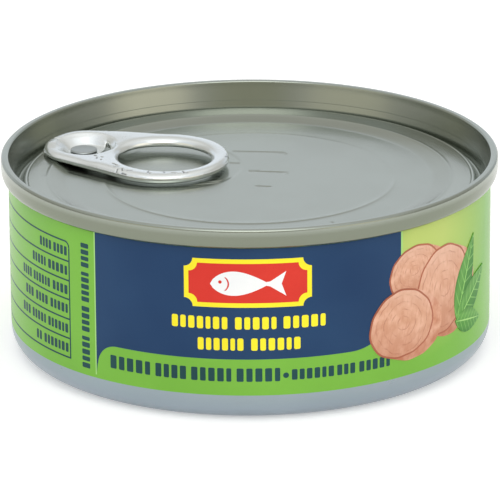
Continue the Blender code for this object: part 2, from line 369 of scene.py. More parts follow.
# %% Rivet
RIVET_TOP = 31.42
RIVET_SHARE = 0.87
rivet_profile = [(r * RIVET_SHARE, RIVET_TOP - drop) for r, drop in (
    (0.0, 0.07), (1.2, 0.05), (1.9, 0.02), (2.35, 0.0), (2.6, 0.03), (2.72, 0.11), (2.76, 0.2), (2.68, 0.3),
    (2.4, 0.36), (1.5, 0.36), (1.5, 0.7), (1.7, 0.9), (1.7, 1.15), (0.0, 1.15),
)]
rivet = spun("rivet", rivet_profile, 96)
edit(rivet)
bpy.ops.transform.translate(value=(TAB_NOSE[0] * MM, TAB_NOSE[1] * MM, 0.0))
deselect()
smooth(rivet)
report(rivet)

# %% [markdown]
# ## The tab
#
# The tab starts as a strip of thick sheet with its edges curled under, so all its borders are
# round, and its nose is pressed down to a tray that the rivet holds. Modelling the curl itself
# would be slow and it is never seen. Here the outline and the finger hole are drawn and turned into
# a flat filled curve, whose depth and bevel make a plate with round edges; the tray is joined and
# hollowed with cutters; and a fine voxel remesh with a little smoothing melts the joints, as
# pressing does. The points then move by rules: a soft dome over the ring, a lower lip in front of
# the tray, a raised tray floor by the slot, and a few nicks and a notch as wear. The dents of the
# nicks and the notch are also painted darker, as painted shade.

# %% Tab, plate
TAB_LOW = 30.8
TAB_HIGH = 32.5
TAB_TILT = math.radians(0.5)
TAB_ROLL = math.radians(1.7)
HOLE_LONG = 17.0
HOLE_WIDE = 15.8
TAB_WIDEN = 1.03
TAB_WAIST = 0.1
RING_ARC_RADIUS = 11.4
TAB_ROUND = 0.84


def pear_outline():
    """The tab's outline in its own axes, in millimetres, anticlockwise from the ring."""
    slope = math.degrees(math.asin((RING_ARC_RADIUS - NOSE_RADIUS) / TAB_LENGTH))
    tangent = 90.0 + slope
    ring = arc((TAB_LENGTH, 0.0), RING_ARC_RADIUS, -tangent, tangent, 72)
    nose = arc((0.0, 0.0), NOSE_RADIUS, tangent, 360.0 - tangent, 44)
    points = list(ring)
    for start, end, side in ((ring[-1], nose[0], -1.0), (nose[-1], ring[0], 1.0)):
        for i in range(1, 16):
            part = i / 16.0
            x = start[0] + (end[0] - start[0]) * part
            y = start[1] + (end[1] - start[1]) * part
            points.append((x, y + side * TAB_WAIST * math.sin(math.pi * part) ** 2))
        if side < 0.0:
            points += nose
    return [(x, y * TAB_WIDEN) for x, y in points]


outline = [(x * MM, y * MM, 0.0) for x, y in pear_outline()]
tab = start_point("tab", outline[0])
draw_on(outline + outline[:1])
bpy.ops.mesh.primitive_circle_add(vertices=96, radius=MM, location=(TAB_LENGTH * MM, 0.0, 0.0))
bpy.ops.transform.resize(
    value=(HOLE_LONG / 2.0, HOLE_WIDE / 2.0, 1.0), center_override=(TAB_LENGTH * MM, 0.0, 0.0)
)
bpy.ops.mesh.select_all(action="SELECT")
bpy.ops.mesh.remove_doubles(threshold=0.002 * MM)
pick(tab)
bpy.ops.object.convert(target="CURVE")
tab = bpy.context.object
tab.data.dimensions = "2D"
bpy.ops.object.mode_set(mode="EDIT")
for spline in tab.data.splines:
    corners = [point.co.xy for point in spline.points]
    area = sum(p.cross(q) for p, q in zip(corners, corners[1:] + corners[:1]))
    is_hole = max(p.length for p in corners) - min(p.length for p in corners) < HOLE_LONG * 1.02 * MM
    wrong = area > 0.0 if is_hole else area < 0.0
    bpy.ops.curve.select_all(action="DESELECT")
    for point in spline.points:
        point.select = True
    if wrong:
        bpy.ops.curve.switch_direction()
    print("hole" if is_hole else "outline", "turned round" if wrong else "as drawn")
bpy.ops.object.mode_set(mode="OBJECT")
tab.data.fill_mode = "BOTH"
tab.data.extrude = ((TAB_HIGH - TAB_LOW) / 2.0 - TAB_ROUND) * MM
tab.data.bevel_depth = TAB_ROUND * MM
tab.data.bevel_resolution = 6
tab.data.offset = -TAB_ROUND * MM
pick(tab)
bpy.ops.object.convert(target="MESH")
tab = bpy.context.object
clean(tab)
for vertex in tab.data.vertices:
    lift = vertex.co.y * math.sin(TAB_ROLL) - vertex.co.x * math.sin(TAB_TILT)
    vertex.co.z += (TAB_LOW + TAB_HIGH) / 2.0 * MM + lift
report(tab)

# %% Tab, tray
TRAY_BOTTOM = 30.4
TRAY_SHEET = 0.6


def cutter(name, low, high, radii, stretch=1.0, shift=0.0, side=0.0):
    """A cone between two heights, stretched along the tab, moved towards its ring and its side."""
    deselect()
    middle = (low + high) / 2.0 * MM
    bpy.ops.mesh.primitive_cone_add(
        vertices=96, radius1=radii[0] * MM, radius2=radii[1] * MM,
        depth=(high - low) * MM, location=(0.0, 0.0, middle),
    )
    piece = bpy.context.object
    piece.name = name
    edit(piece)
    bpy.ops.transform.resize(value=(stretch, 1.0, 1.0), center_override=(0.0, 0.0, middle))
    bpy.ops.transform.translate(value=(shift * MM, side * MM, 0.0))
    pick(piece)
    bpy.ops.object.transform_apply(location=True, rotation=True, scale=True)
    deselect()
    return piece


def combine(piece, other, operation):
    """Join with or cut by another piece, and take that one away."""
    step = piece.modifiers.new(other.name, "BOOLEAN")
    step.operation = operation
    step.solver = "EXACT"
    step.object = other
    pick(piece)
    bpy.ops.object.modifier_apply(modifier=step.name)
    deselect()
    bpy.data.objects.remove(other, do_unlink=True)


def slot_cutter():
    """The crescent beside the rivet, on the ring's side."""
    outer, inner, half = 4.8, 9.5, 60.0
    inner_turn = math.degrees(math.asin(outer * math.sin(math.radians(half)) / inner))
    inner_middle = outer * math.cos(math.radians(half)) - inner * math.cos(math.radians(inner_turn))
    edge = arc((0.0, 0.0), outer, -half, half, 24)
    edge += arc((inner_middle, 0.0), inner, inner_turn, -inner_turn, 24)[1:-1]
    points = [(x * MM, y * MM, 29.8 * MM) for x, y in edge]
    piece = start_point("slot", points[0])
    draw_on(points + points[:1])
    bpy.ops.mesh.select_all(action="SELECT")
    bpy.ops.mesh.remove_doubles(threshold=0.002 * MM)
    bpy.ops.mesh.edge_face_add()
    bpy.ops.mesh.extrude_region_move(TRANSFORM_OT_translate={"value": (0.0, 0.0, 5.0 * MM)})
    bpy.ops.mesh.select_all(action="SELECT")
    bpy.ops.mesh.normals_make_consistent(inside=False)
    deselect()
    return piece


tab_middle = (TAB_LOW + TAB_HIGH) / 2.0
tray_floor = TRAY_BOTTOM + TRAY_SHEET
combine(tab, cutter("tray_outside", TRAY_BOTTOM, tab_middle, (3.9, 5.2), 1.15, 1.1), "UNION")
combine(tab, cutter("tray_base", tray_floor, tray_floor + 0.6, (3.4, 3.6), 1.22, 1.2), "DIFFERENCE")
inside = cutter("tray_inside", tray_floor + 0.2, tray_floor + 1.5, (3.5, 5.0), 1.1, 0.7, -0.1)
combine(tab, inside, "DIFFERENCE")
mouth = cutter("tray_mouth", tray_floor + 1.2, tray_floor + 2.2, (4.7, 6.2), 1.06, 0.4, -0.2)
combine(tab, mouth, "DIFFERENCE")
combine(tab, slot_cutter(), "DIFFERENCE")
combine(tab, cutter("neck_hole", 27.3, 35.3, (1.8, 1.8)), "DIFFERENCE")
report(tab)

# %% Tab, melt the joints
NICKS = [
    ((4.2, -4.6), (4.7, -4.9)), ((5.2, -5.6), (5.4, -6.4)), ((5.9, -5.3), (6.2, -5.4)),
    ((6.4, -6.6), (6.6, -6.9)), ((9.3, -7.9), (10.4, -8.4)), ((10.0, -9.1), (10.9, -8.8)),
    ((11.2, -9.9), (11.3, -11.0)), ((11.9, -9.6), (12.3, -10.4)), ((12.4, -10.9), (13.3, -11.2)),
    ((13.1, -10.2), (13.9, -10.0)), ((16.7, -8.9), (16.9, -9.9)), ((16.9, -9.9), (17.6, -10.1)),
    ((19.3, -8.3), (19.8, -9.0)), ((20.9, -8.5), (21.6, -8.3)), ((22.4, -7.0), (22.9, -7.7)),
    ((22.9, -7.7), (23.5, -7.2)), ((26.2, 3.0), (26.4, 4.2)), ((26.4, 4.2), (25.8, 4.4)),
    ((23.5, 8.4), (23.6, 8.6)),
]
NICK_DEPTH = 0.12
NICK_WIDTH = 0.22
NOTCH = ((-5.3, 0.5), (-7.6, 0.9))
NOTCH_DEPTH = 0.45
NOTCH_WIDTH = 0.45
TOP_FROM = TAB_HIGH - 0.9
DOME_DROP = 0.3
LIP_DROP = 0.32
NOSE_LIFT = 0.28
FLOOR_RISE = 0.45
tab.data.remesh_voxel_size = 0.16 * MM
tab.data.use_remesh_preserve_volume = True
pick(tab)
bpy.ops.object.voxel_remesh()
melt = tab.modifiers.new("melt", "SMOOTH")
melt.factor = 0.5
melt.iterations = 14
apply_all(tab)


def edge_gap(along, across):
    """Distance from the nearest border of the tab's plate: its outline or its finger hole."""
    from_hole = math.hypot((along - TAB_LENGTH) / HOLE_LONG, across / HOLE_WIDE) * 2.0 - 1.0
    from_hole *= HOLE_WIDE / 2.0
    return min(abs(pear_gap(along, across)), abs(from_hole))


# Painted shade: a weight for darkening the nicks and the notch in the tab's colour.
nick_shade = tab.data.attributes.new("nick_shade", "FLOAT", "POINT")
for vertex in tab.data.vertices:
    x, y, z = vertex.co / MM
    if z > TOP_FROM:
        nick = ease(1.0 - min(near_line(x, y, *nick) for nick in NICKS) / NICK_WIDTH)
        notch = ease(1.0 - near_line(x, y, *NOTCH) / NOTCH_WIDTH)
        vertex.co.z -= (NICK_DEPTH * nick + NOTCH_DEPTH * notch) * MM
        nick_shade.data[vertex.index].value = max(nick, 0.6 * notch)
        dome = max(0.0, 1.0 - edge_gap(x, y) / 1.9)
        vertex.co.z -= DOME_DROP * dome * dome * MM
        vertex.co.z -= LIP_DROP * ease((-y - 1.0) / 3.0) * ease((7.5 - x) / 5.0) * MM
    elif math.hypot(x - 1.0, y) < 6.2:
        vertex.co.z += FLOOR_RISE * ease((x - 2.6) / 1.5) * ease((TOP_FROM - z) / 0.4) * MM
    vertex.co.z += NOSE_LIFT * ease((y - 0.5) / 6.0) * ease((12.0 - x) / 9.0) * MM
    turned_x, turned_y = from_tab(x, y)
    vertex.co.x, vertex.co.y = turned_x * MM, turned_y * MM
pick(tab)
bpy.ops.object.shade_smooth()
deselect()
report(tab)

# %% [markdown]
# ## The print
#
# The print on a can is flat ink on flat tin before the sheet is drawn, so it follows the wall
# exactly. It could be painted by a material, but then its edges would blur where the material is
# baked. Here each field of colour is a sheet a few hundredths of a millimetre thick. It is drawn
# flat, with x along the wall and z up, cut at every degree of the wall, given its thickness, and
# then wrapped: x becomes an angle, and the depth becomes a radius. The same print stands on the
# far side of the can, half a turn round. Words aren't lettered: rows of plain upright blocks stand
# in their places.

# %% Flat drawing and wrapping
LAYER = 0.012
SINK = 0.05
DEGREE = math.radians(1.0) * WALL_RADIUS


def new_print(name):
    """An empty flat drawing, in object mode."""
    deselect()
    piece = bpy.data.objects.new(name, bpy.data.meshes.new(name))
    bpy.context.scene.collection.objects.link(piece)
    return piece


def fill_outline(piece, points):
    """Draw a closed outline of (along, up) points in millimetres, and fill it with one face."""
    places = [(s * MM, 0.0, z * MM) for s, z in points]
    edit(piece)
    bpy.ops.mesh.hide(unselected=False)
    bpy.ops.mesh.primitive_plane_add(size=MM, location=(0.0, 0.0, 0.0))
    bpy.ops.mesh.select_mode(type="VERT")
    bpy.ops.mesh.merge(type="CENTER")
    bpy.ops.transform.translate(value=places[0])
    draw_on(places + places[:1])
    bpy.ops.mesh.select_all(action="SELECT")
    bpy.ops.mesh.remove_doubles(threshold=0.002 * MM)
    bpy.ops.mesh.edge_face_add()
    bpy.ops.mesh.reveal(select=False)
    deselect()


def blocks(piece, boxes, corner=0.0):
    """Plain rectangles of (left, right, low, high) in millimetres, with round corners if wanted."""
    edit(piece)
    bpy.ops.mesh.hide(unselected=False)
    for left, right, low, high in boxes:
        middle = ((left + right) / 2.0 * MM, 0.0, (low + high) / 2.0 * MM)
        bpy.ops.mesh.primitive_plane_add(size=1.0, location=middle, rotation=(math.pi / 2.0, 0.0, 0.0))
        bpy.ops.transform.resize(value=((right - left) * MM, 1.0, (high - low) * MM), center_override=middle)
    if corner > 0.0:
        bpy.ops.mesh.select_all(action="SELECT")
        bpy.ops.mesh.bevel(offset=corner * MM, segments=3, affect="VERTICES")
    bpy.ops.mesh.reveal(select=False)
    deselect()


def wrap(piece, layer, chart=None):
    """Cut a flat drawing at every degree, thicken it, keep its flat places as UVs, wrap it, repeat it."""
    xs = [vertex.co.x / MM for vertex in piece.data.vertices]
    first, last = math.floor(min(xs) / DEGREE), math.ceil(max(xs) / DEGREE)
    edit(piece)
    for i in range(first, last + 1):
        bpy.ops.mesh.select_all(action="SELECT")
        bpy.ops.mesh.bisect(plane_co=(i * DEGREE * MM, 0.0, 0.0), plane_no=(1.0, 0.0, 0.0))
    deselect()
    if sum(face.normal.y for face in piece.data.polygons) > 0.0:
        piece.data.flip_normals()
    for face in piece.data.polygons:
        if face.normal.y > 0.0:
            face.flip()
    sheet = piece.modifiers.new("thickness", "SOLIDIFY")
    sheet.thickness = (LAYER * layer + SINK) * MM
    sheet.offset = -1.0
    apply_all(piece)
    flat = piece.data.uv_layers.new(name="flat")
    for loop in piece.data.loops:
        place = piece.data.vertices[loop.vertex_index].co / MM
        flat.data[loop.index].uv = chart(place.x, place.z) if chart else (place.x / 10.0, place.z / 10.0)
    for vertex in piece.data.vertices:
        place = vertex.co / MM
        turn = place.x / WALL_RADIUS
        radius = WALL_RADIUS + LAYER * layer - place.y
        vertex.co = Vector((radius * math.sin(turn), -radius * math.cos(turn), place.z)) * MM
    edit(piece)
    bpy.ops.mesh.duplicate()
    bpy.ops.transform.rotate(value=math.pi, orient_axis="Z", center_override=(0.0, 0.0, 0.0))
    smooth(piece, 30.0)
    report(piece)


# %% Panel and pale lines
PANEL_LEFT = -28.4
PANEL_RIGHT = 27.5
PANEL_LOW = 11.5
PRINT_TOP = 31.29
panel_outline = [(PANEL_LEFT, PRINT_TOP), (PANEL_LEFT, 6.0), (-28.2, 7.6)]
panel_outline += arc((-24.1, PANEL_LOW - 4.0), 4.0, 175.0, 90.0, 14)
panel_outline += arc((17.5, PANEL_LOW + 10.0), 10.0, -90.0, 0.0, 24) + [(PANEL_RIGHT, PRINT_TOP)]
panel = new_print("navy_panel")
fill_outline(panel, panel_outline)
wrap(panel, 1)

pale_lines = new_print("pale_lines")
blocks(pale_lines, [(-28.65, PANEL_LEFT, 5.6, PRINT_TOP), (PANEL_RIGHT, 27.85, 20.0, PRINT_TOP)])
wrap(pale_lines, 1)

# %% Plaque with a plain fish
PLAQUE_PLACE = (-0.4, 25.1)


def scooped_plate(half_width, half_height, scoop):
    """A plate outline with hollow round corners."""
    cx, cz = PLAQUE_PLACE
    points = []
    for sx, sz, start in ((1.0, 1.0, 270.0), (-1.0, 1.0, 360.0), (-1.0, -1.0, 90.0), (1.0, -1.0, 180.0)):
        points += arc((cx + sx * half_width, cz + sz * half_height), scoop, start, start - 90.0, 8)
    return points


plaque_edge = new_print("plaque_edge")
fill_outline(plaque_edge, scooped_plate(10.9, 4.3, 1.5))
wrap(plaque_edge, 2)
plaque = new_print("plaque")
fill_outline(plaque, scooped_plate(10.1, 3.5, 1.5))
wrap(plaque, 3)

FISH_PLACE = (-0.2, 25.0)


def fish_outline():
    """A plain fish that swims to the left: an upper curve, a forked tail, a lower curve."""
    cx, cz = FISH_PLACE
    upper = [(-6.6 + 0.5 * i, 2.25 * math.sin(math.pi * (i / 20.0) ** 0.75) ** 0.9) for i in range(20)]
    tail = [(3.6, 0.45), (6.3, 2.2), (5.5, 0.0), (6.3, -2.2), (3.6, -0.45)]
    lower = [(x, -z * 0.92) for x, z in reversed(upper[1:])]
    return [(cx + x, cz + z) for x, z in upper + tail + lower]


fish = new_print("plain_fish")
fill_outline(fish, fish_outline())
wrap(fish, 4)
fish_marks = new_print("fish_marks")
fill_outline(fish_marks, arc((FISH_PLACE[0] - 4.9, FISH_PLACE[1] + 0.35), 0.3, 0.0, 345.0, 15))
gill = arc((FISH_PLACE[0] - 4.9, FISH_PLACE[1]), (1.55, 1.5), -52.0, 52.0, 10)
gill += arc((FISH_PLACE[0] - 5.12, FISH_PLACE[1]), (1.5, 1.5), 52.0, -52.0, 10)
fill_outline(fish_marks, gill)
wrap(fish_marks, 5)

# %% Rows of blocks in the places of words
BLOCK_WIDTHS = (0.5, 0.44, 0.5, 0.5, 0.38)
BLOCK_GAP = 0.2


def word(start, end, low, high):
    """Upright blocks that fill a word's place, in a fixed run of widths."""
    height = high - low
    widths, used = [], 0.0
    while used < (end - start) / height:
        widths.append(BLOCK_WIDTHS[len(widths) % len(BLOCK_WIDTHS)])
        used += widths[-1] + BLOCK_GAP
    scale = (end - start) / (used - BLOCK_GAP)
    boxes, place = [], start
    for width in widths:
        boxes.append((place, place + width * scale, low, high))
        place += (width + BLOCK_GAP) * scale
    return boxes


def row(low, high, *spans):
    """The blocks of a row of words, each from its start to its end."""
    return [box for start, end in spans for box in word(start, end, low, high)]


headline = new_print("headline_blocks")
headline_boxes = row(16.9, 19.1, (-13.5, -3.9), (-2.6, 4.4), (5.6, 12.9))
headline_boxes += row(13.1, 15.3, (-9.0, -1.2), (0.1, 8.5))
blocks(headline, headline_boxes, 0.3)
wrap(headline, 2)

small_print = new_print("small_print")
word_boxes = row(7.5, 9.9, (-25.4, -17.6), (-16.6, -11.1), (-10.2, -3.3), (-2.4, 5.0))
word_boxes += row(7.6, 9.5, (7.0, 14.4), (15.0, 18.3), (19.1, 25.2))
upright = row(-31.7, -29.9, (6.3, 12.0), (12.9, 17.4), (18.3, 23.6), (24.5, 28.8))
word_boxes += [(left, right, low, high) for low, high, left, right in upright]
ROWS = (28.1, 24.6, 21.1, 17.7, 14.1, 10.6, 7.1)
ROW_WORDS = (
    ((-43.2, -39.6), (-38.9, -35.2)), ((-46.0, -41.4), (-40.6, -35.2)),
    ((-50.3, -46.6), (-45.8, -40.2), (-39.3, -35.2)), ((-49.2, -46.0), (-45.0, -41.0), (-40.1, -35.2)),
    ((-50.6, -47.4), (-46.5, -41.7), (-40.9, -35.2)), ((-45.0, -43.2), (-42.3, -35.2)),
)
TABLE_LEFT = -68.0
TABLE_RIGHT = -34.5
RULE = 0.3
for top, spans in zip(ROWS, ROW_WORDS):
    word_boxes += row(top - 2.6, top - 0.95, *spans, (-66.8, -63.6))
rule_boxes = []
for height, shorter in [(height, RULE) for height in ROWS[1:-1]] + [(ROWS[0], 1.2), (ROWS[-1], RULE)]:
    rule_boxes.append((TABLE_LEFT + shorter, TABLE_RIGHT - shorter, height - RULE / 2.0, height + RULE / 2.0))
for edge in (TABLE_LEFT, TABLE_RIGHT - RULE):
    rule_boxes.append((edge, edge + RULE, ROWS[-1] - RULE / 2.0, ROWS[0] - 1.1))
blocks(small_print, rule_boxes)
blocks(small_print, word_boxes, 0.2)
for centre, start in (((TABLE_RIGHT - 1.2, ROWS[0] - 1.05), 0.0), ((TABLE_LEFT + 1.2, ROWS[0] - 1.05), 90.0)):
    corner = arc(centre, 1.2, start, start + 90.0, 8)
    corner += arc(centre, 1.2 - RULE, start + 90.0, start, 8)
    fill_outline(small_print, corner)
fill_outline(small_print, arc((6.0, 8.5), 0.5, 0.0, 340.0, 17))
wrap(small_print, 1)

# %% [markdown]
# ## Steaks and leaves
#
# The printed picture is a plain design of this file's own: round steaks that lean on one another,
# with pointed leaves beside them. A steak in print is a dark rim, a side and a face. The face gets
# its flakes from a ring pattern that reads the face's own flat places, so it is drawn flat here and
# coloured later.

# %% Steaks
STEAKS = [
    ((30.6, 23.6), (5.6, 4.4), 14.0),
    ((38.4, 18.4), (7.4, 8.0), 6.0),
    ((28.0, 14.6), (6.7, 6.3), -12.0),
]


def oval(centre, radii, turn, grow=0.0, steps=56):
    """Points of a turned oval, a little uneven as a cut of fish is."""
    lean = math.radians(turn)
    points = []
    for i in range(steps):
        t = 2.0 * math.pi * i / steps
        wobble = 1.0 + 0.05 * math.sin(2.0 * t + 0.6) + 0.03 * math.sin(3.0 * t + 2.0)
        wobble += 0.008 * math.sin(11.0 * t)
        x = (radii[0] + grow) * math.cos(t) * wobble
        z = (radii[1] + grow) * math.sin(t) * wobble
        points.append((
            centre[0] + x * math.cos(lean) - z * math.sin(lean),
            centre[1] + x * math.sin(lean) + z * math.cos(lean),
        ))
    return points


def hull(points):
    """The outline round all the points, anticlockwise."""
    points = sorted(set(points))
    sides = []
    for run in (points, points[::-1]):
        side = []
        for p in run:
            while len(side) > 1 and (
                (side[-1][0] - side[-2][0]) * (p[1] - side[-2][1])
                - (side[-1][1] - side[-2][1]) * (p[0] - side[-2][0])
            ) <= 0.0:
                side.pop()
            side.append(p)
        sides += side[:-1]
    return sides


def own_places(origin, turn, sizes):
    """A chart of flat places: along and across a shape, in shares of its own sizes."""
    level, upright = math.cos(turn), math.sin(turn)

    def chart(s, z):
        ds, dz = s - origin[0], z - origin[1]
        return (ds * level + dz * upright) / sizes[0], (dz * level - ds * upright) / sizes[1]

    return chart


steak_sides, steak_faces, steak_rims = [], [], []
for number, (centre, radii, turn) in enumerate(STEAKS):
    layer = 2 + 3 * number
    name = "abc"[number]
    behind = oval((centre[0] + 2.4, centre[1] - 0.9), radii, turn)
    side = new_print("steak_side_" + name)
    fill_outline(side, hull(oval(centre, radii, turn, 0.1) + behind))
    rim = new_print("steak_rim_" + name)
    fill_outline(rim, oval(centre, radii, turn, 0.1))
    top = new_print("steak_face_" + name)
    fill_outline(top, oval(centre, radii, turn, -0.22))
    chart = own_places(centre, math.radians(turn), radii)
    wrap(side, layer, chart)
    wrap(rim, layer + 1, chart)
    wrap(top, layer + 2, chart)
    steak_sides.append(side)
    steak_rims.append(rim)
    steak_faces.append(top)

# %% Leaves
LEAVES = [
    ((42.0, 11.6), (48.4, 25.6), 2.9),
    ((42.2, 11.2), (53.4, 18.4), 2.7),
    ((41.6, 11.4), (51.6, 9.4), 2.2),
]


def leaf_outline(root, tip, half_width):
    """A pointed leaf between its root and its tip."""
    length = math.dist(root, tip)
    along = ((tip[0] - root[0]) / length, (tip[1] - root[1]) / length)
    across = (-along[1], along[0])
    points = []
    for side in (1.0, -1.0):
        for i in range(16):
            t = i / 16.0 if side > 0.0 else 1.0 - i / 16.0
            out = side * half_width * math.sin(math.pi * t ** 0.8)
            points.append((
                root[0] + along[0] * length * t + across[0] * out,
                root[1] + along[1] * length * t + across[1] * out,
            ))
    return points


leaves, veins = [], []
for number, (root, tip, half_width) in enumerate(LEAVES):
    name = "abc"[number]
    leaf = new_print("leaf_" + name)
    fill_outline(leaf, leaf_outline(root, tip, half_width))
    leaf_turn = math.atan2(tip[1] - root[1], tip[0] - root[0])
    chart = own_places(root, leaf_turn, (math.dist(root, tip), half_width))
    wrap(leaf, 11 + 2 * number, chart)
    vein = new_print("vein_" + name)
    fill_outline(vein, leaf_outline(root, tip, 0.13))
    wrap(vein, 12 + 2 * number, chart)
    leaves.append(leaf)
    veins.append(vein)

# %% [markdown]
# ## Finishes
#
# There are two kinds: bare or lacquered metal, and ink on metal under a clear varnish. A metal
# shows almost only what it reflects, so its colour, its grain and how rough it is do the work. An
# ink is a matt colour with a thin smooth coat on it. Each helper below makes one kind, and each
# finish then names its own colours.

# %% Node helpers
def new_finish(name):
    finish = bpy.data.materials.new(name)
    finish.use_nodes = True
    return finish, finish.node_tree, finish.node_tree.nodes["Principled BSDF"]


def put(tree, socket, value):
    """A constant on an input, or a link to it."""
    if isinstance(value, bpy.types.NodeSocket):
        tree.links.new(value, socket)
    else:
        socket.default_value = value


def set_up(tree, node, **settings):
    """Settings of a node by name, its own or those of its inputs, with _ for a space."""
    for key, value in settings.items():
        if hasattr(node, key):
            setattr(node, key, value)
        else:
            put(tree, node.inputs[key.replace("_", " ")], value)
    return node


def add(tree, kind, **settings):
    return set_up(tree, tree.nodes.new(kind), **settings)


def linear(red, green, blue):
    """A colour as it is seen on screen, 0 to 255, as Blender's own linear values."""
    shares = [c / 255.0 for c in (red, green, blue)]
    return (*[c / 12.92 if c <= 0.04045 else ((c + 0.055) / 1.055) ** 2.4 for c in shares], 1.0)


def mix_colour(tree, share, first, second):
    """Mix two colours or links by a link."""
    mix = add(tree, "ShaderNodeMix", data_type="RGBA")
    for index, value in ((0, share), (6, first), (7, second)):
        put(tree, mix.inputs[index], value)
    return mix.outputs[2]


def ramp(tree, source, low, high, to_low=0.0, to_high=1.0):
    """Map a value from one range to another, and hold it there."""
    change = add(
        tree, "ShaderNodeMapRange", Value=source, From_Min=low, From_Max=high, To_Min=to_low, To_Max=to_high
    )
    return change.outputs["Result"]


def reckon(tree, operation, first, second=None):
    """Arithmetic on one or two values or links."""
    made = add(tree, "ShaderNodeMath", operation=operation)
    put(tree, made.inputs[0], first)
    if second is not None:
        put(tree, made.inputs[1], second)
    return made.outputs["Value"]


def noise(tree, source, scale, stretch=(1.0, 1.0, 1.0), detail=3.0):
    """Noise on places, stretched along an axis by a Mapping node."""
    mapping = add(tree, "ShaderNodeMapping", Scale=stretch, Vector=source)
    texture = add(tree, "ShaderNodeTexNoise", Scale=scale, Detail=detail, Vector=mapping.outputs["Vector"])
    return texture.outputs["Fac"]


def object_places(tree):
    return add(tree, "ShaderNodeTexCoord").outputs["Object"]


def flat_places(tree):
    """The places of a print as it was drawn flat, which its wrapping kept."""
    return add(tree, "ShaderNodeUVMap", uv_map="flat").outputs["UV"]


# %% Metals
def metal(name, dark, light, roughness, grain, coat=0.0, coat_roughness=0.05, uneven=0.1, bump=0.02):
    """A metal with rolling grain, soft blotches and a fine unevenness in its gloss."""
    finish, tree, shader = new_finish(name)
    places = object_places(tree)
    lines = noise(tree, places, 2600.0, (0.04, 1.0, 1.0), 2.0)
    blotches = noise(tree, places, 90.0, detail=4.0)
    smudges = noise(tree, places, 160.0, detail=5.0)
    tone = mix_colour(tree, blotches, dark, light)
    relief = add(tree, "ShaderNodeBump", Strength=bump, Distance=0.05 * MM, Height=lines)
    set_up(
        tree, shader, Metallic=1.0, Coat_Weight=coat, Coat_Roughness=coat_roughness,
        Base_Color=mix_colour(tree, ramp(tree, lines, 0.35, 0.65, 0.0, grain), tone, dark),
        Roughness=ramp(tree, smudges, 0.3, 0.7, roughness * (1.0 - uneven), roughness * (1.0 + uneven)),
        Normal=relief.outputs["Normal"],
    )
    return finish


def reopen(finish):
    """A finish's tree, its shader, and the tone that it has so far."""
    shader = finish.node_tree.nodes["Principled BSDF"]
    return finish.node_tree, shader, shader.inputs["Base Color"].links[0].from_socket


# Painted shade: the seam's outer wall below the crown is darkened, though it is the same lacquer as the rest
# of the lid.
PAINTED_SEAM_SHADE = linear(128, 133, 119)
# Painted light on the lid, which is one lacquer throughout: a darker band over the sloping step is a painted
# dark reflection, and a lighter band over the panel's edge is a painted highlight.
STEP_SHADE_AND_HIGHLIGHT = ((32.3, 35.2, linear(156, 161, 151)), (35.7, 39.6, linear(164, 169, 160)))
PAINTED_BAND_BLUR = 0.3

lid_finish = metal(
    "olive_lacquer", linear(157, 162, 153), linear(163, 169, 160), 0.24, 0.0,
    coat=0.2, coat_roughness=0.08, uneven=0.05, bump=0.0,
)
tree, shader, tone = reopen(lid_finish)
parts = add(tree, "ShaderNodeSeparateXYZ", Vector=object_places(tree))
flat = add(tree, "ShaderNodeCombineXYZ", X=parts.outputs["X"], Y=parts.outputs["Y"])
reach = add(tree, "ShaderNodeVectorMath", operation="LENGTH", Vector=flat.outputs["Vector"]).outputs["Value"]
# Mask of the painted shade on the seam's outer wall, below its crown.
outside = ramp(tree, reach, 43.0 * MM, 43.4 * MM)
under_crown = ramp(tree, parts.outputs["Z"], 34.95 * MM, 33.6 * MM)
tone = mix_colour(tree, reckon(tree, "MULTIPLY", outside, under_crown), tone, PAINTED_SEAM_SHADE)
# Paint the dark reflection band and the highlight band in by radius.
for start, end, colour in STEP_SHADE_AND_HIGHLIGHT:
    inner = ramp(tree, reach, (start - PAINTED_BAND_BLUR) * MM, (start + PAINTED_BAND_BLUR) * MM)
    outer = ramp(tree, reach, (end - PAINTED_BAND_BLUR) * MM, (end + PAINTED_BAND_BLUR) * MM, 1.0, 0.0)
    tone = mix_colour(tree, reckon(tree, "MULTIPLY", inner, outer), tone, colour)
put(tree, shader.inputs["Base Color"], tone)

rivet_finish = metal("rivet_lacquer", linear(166, 172, 172), linear(174, 180, 180), 0.36, 0.12, bump=0.01)
tab_finish = metal("tab_aluminium", linear(228, 232, 232), linear(238, 241, 241), 0.25, 0.06, bump=0.01)
tree, shader, tone = reopen(tab_finish)
# Painted shade in the nicks and the notch, by their weight.
nick_shade_share = add(tree, "ShaderNodeAttribute", attribute_name="nick_shade").outputs["Fac"]
tone = mix_colour(tree, ramp(tree, nick_shade_share, 0.2, 0.9, 0.0, 0.75), tone, linear(84, 90, 92))
put(tree, shader.inputs["Base Color"], tone)
tin_finish = metal("bare_tin", linear(146, 157, 166), linear(155, 166, 175), 0.3, 0.1, bump=0.005)

# %% Inks
def ink(name, dark, light, roughness=0.42, coat=0.15):
    """Printed ink under varnish: two near tones, a fine screen grain and a clear coat."""
    finish, tree, shader = new_finish(name)
    places = object_places(tree)
    clouds = noise(tree, places, 55.0, detail=2.0)
    grain = noise(tree, places, 3800.0, detail=1.0)
    ripples = noise(tree, places, 900.0, detail=2.0)
    tone = mix_colour(tree, ramp(tree, clouds, 0.35, 0.65), dark, light)
    tone = mix_colour(tree, ramp(tree, grain, 0.42, 0.75, 0.0, 0.22), tone, dark)
    relief = add(tree, "ShaderNodeBump", Strength=0.04, Distance=0.03 * MM, Height=ripples).outputs["Normal"]
    set_up(
        tree, shader, Base_Color=tone, Normal=relief, Coat_Normal=relief, Specular_IOR_Level=0.1,
        Roughness=ramp(tree, grain, 0.3, 0.7, roughness * 0.9, roughness * 1.1),
        Coat_Weight=coat, Coat_Roughness=0.16,
    )
    return finish, tree, shader, tone


GLOW_TURN = math.radians(46.0)
GLOW_HEIGHT = 29.0 * MM
GLOW_TONE = linear(190, 205, 112)

